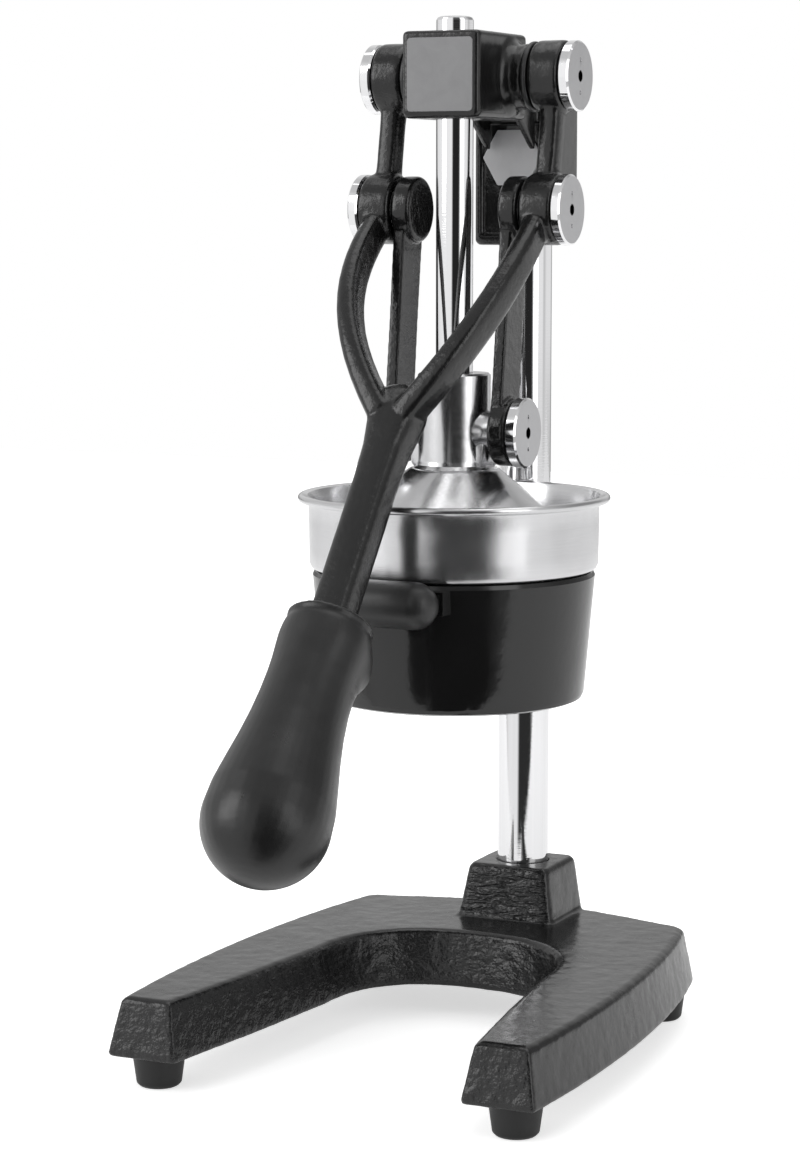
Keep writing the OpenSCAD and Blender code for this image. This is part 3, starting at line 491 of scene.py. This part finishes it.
area("key_left", (-1.3, -1.2, 1.0), (0, 0.03, 0.22), (1.0, 1.4), 12)
area("fill_right", (1.5, -0.5, 0.7), (0, 0.03, 0.2), (0.7, 1.4), 4)
area("top", (0.1, 0.3, 1.6), (0, 0.03, 0.2), (1.4, 1.0), 5)

# Soft studio round the object: brightness by bearing, in degrees to the right of the camera, for
# directions below the horizon, about level with it and above it
STUDIO_LOW = [
    (-180, 0.2), (-150, 0.25), (-120, 0.55), (-85, 0.75), (-72, 0.95), (-30, 0.95), (-20, 0.03),
    (27, 0.03), (38, 0.35), (55, 0.8), (86, 0.7), (104, 0.6), (138, 0.5), (158, 0.25), (180, 0.2),
]
STUDIO_LEVEL = [
    (-180, 0.28), (-152, 0.32), (-128, 0.9), (-85, 1.0), (-72, 1.0), (-21, 1.0), (-13, 0.02),
    (24, 0.02), (31, 0.95), (78, 0.95), (86, 0.6), (104, 0.9), (138, 0.9), (158, 0.3), (180, 0.28),
]
STUDIO_HIGH = [
    (-180, 0.75), (-140, 0.7), (-120, 0.75), (-85, 0.8), (-72, 1.0), (-21, 1.0), (-13, 0.1),
    (24, 0.1), (31, 0.8), (78, 0.6), (100, 0.3), (138, 0.3), (157, 0.65), (180, 0.75),
]
OVERHEAD = (0.45, 0.45, 0.45, 1)
GAIN = 1.3             # keeps the rings' values within a ramp's 0 to 1
world = bpy.data.worlds.new("studio")
bpy.context.scene.world = world
w = Tree(world)
direction = w.split(w.nt.nodes.new("ShaderNodeTexCoord").outputs["Generated"])
ahead = w.add(w.times(direction[0], math.sin(az)), w.times(direction[1], -math.cos(az)))
right = w.add(w.times(direction[0], math.cos(az)), w.times(direction[1], math.sin(az)))
bearing = w.remap(w.math("ARCTAN2", right, ahead), -math.pi, math.pi, 0.0, 1.0)


def studio_ring(levels):
    return w.ramp(bearing, [(deg / 360 + 0.5, level / GAIN) for deg, level in levels])


def above(start, end, lower, upper):
    """Blend from one ring to the next between two heights of the direction."""
    return w.mix(w.remap(direction[2], start, end, 0.0, 1.0), lower, upper)


ring = above(-0.10, -0.04, studio_ring(STUDIO_LOW), studio_ring(STUDIO_LEVEL))
ring = above(0.05, 0.12, ring, studio_ring(STUDIO_HIGH))
ring = above(0.55, 0.8, ring, OVERHEAD)
studio = w.node("ShaderNodeBackground", Color=ring, Strength=GAIN)
backdrop = w.node("ShaderNodeBackground", Color=(1, 1, 1, 1), Strength=1.0)
seen = w.nt.nodes.new("ShaderNodeLightPath").outputs["Is Camera Ray"]
shown = w.node("ShaderNodeMixShader", i0=seen, i1=studio, i2=backdrop)
w.put(w.nt.nodes.new("ShaderNodeOutputWorld").inputs["Surface"], shown)

# Pale floor: its near edge is close in front, so that bright bars mirror the studio's dark gap
floor_mesh = bpy.data.meshes.new("floor")
NEAR, FAR = -0.20, 2.5
corners = [(-FAR, NEAR, 0), (FAR, NEAR, 0), (FAR, FAR, 0), (-FAR, FAR, 0)]
floor_mesh.from_pydata(corners, [], [(0, 1, 2, 3)])
floor = bpy.data.objects.new("floor", floor_mesh)
bpy.context.scene.collection.objects.link(floor)
floor.location.z = -0.0002
pale = Mat("pale_floor")
across, along = pale.place[0], pale.place[1]
away = pale.math("SQRT", pale.add(pale.times(across, across), pale.times(along, along)))
# It looks almost white itself, and throws less light than that up at the object
direct = pale.nt.nodes.new("ShaderNodeLightPath").outputs["Is Camera Ray"]
glow = pale.times(pale.remap(away, 0.12, 0.6, 0.6, 0.9), pale.remap(direct, 0.0, 1.0, 0.35, 1.0))
pale.set(Base_Color=(0.9, 0.9, 0.9, 1), Roughness=0.9, Specular_IOR_Level=0.05,
         Emission_Color=(1, 1, 1, 1), Emission_Strength=glow)
floor_mesh.materials.append(pale.mat)

view = bpy.context.scene.view_settings
view.view_transform = "Standard"
view.look = "None"
view.exposure = 0.0
view.gamma = 1.0
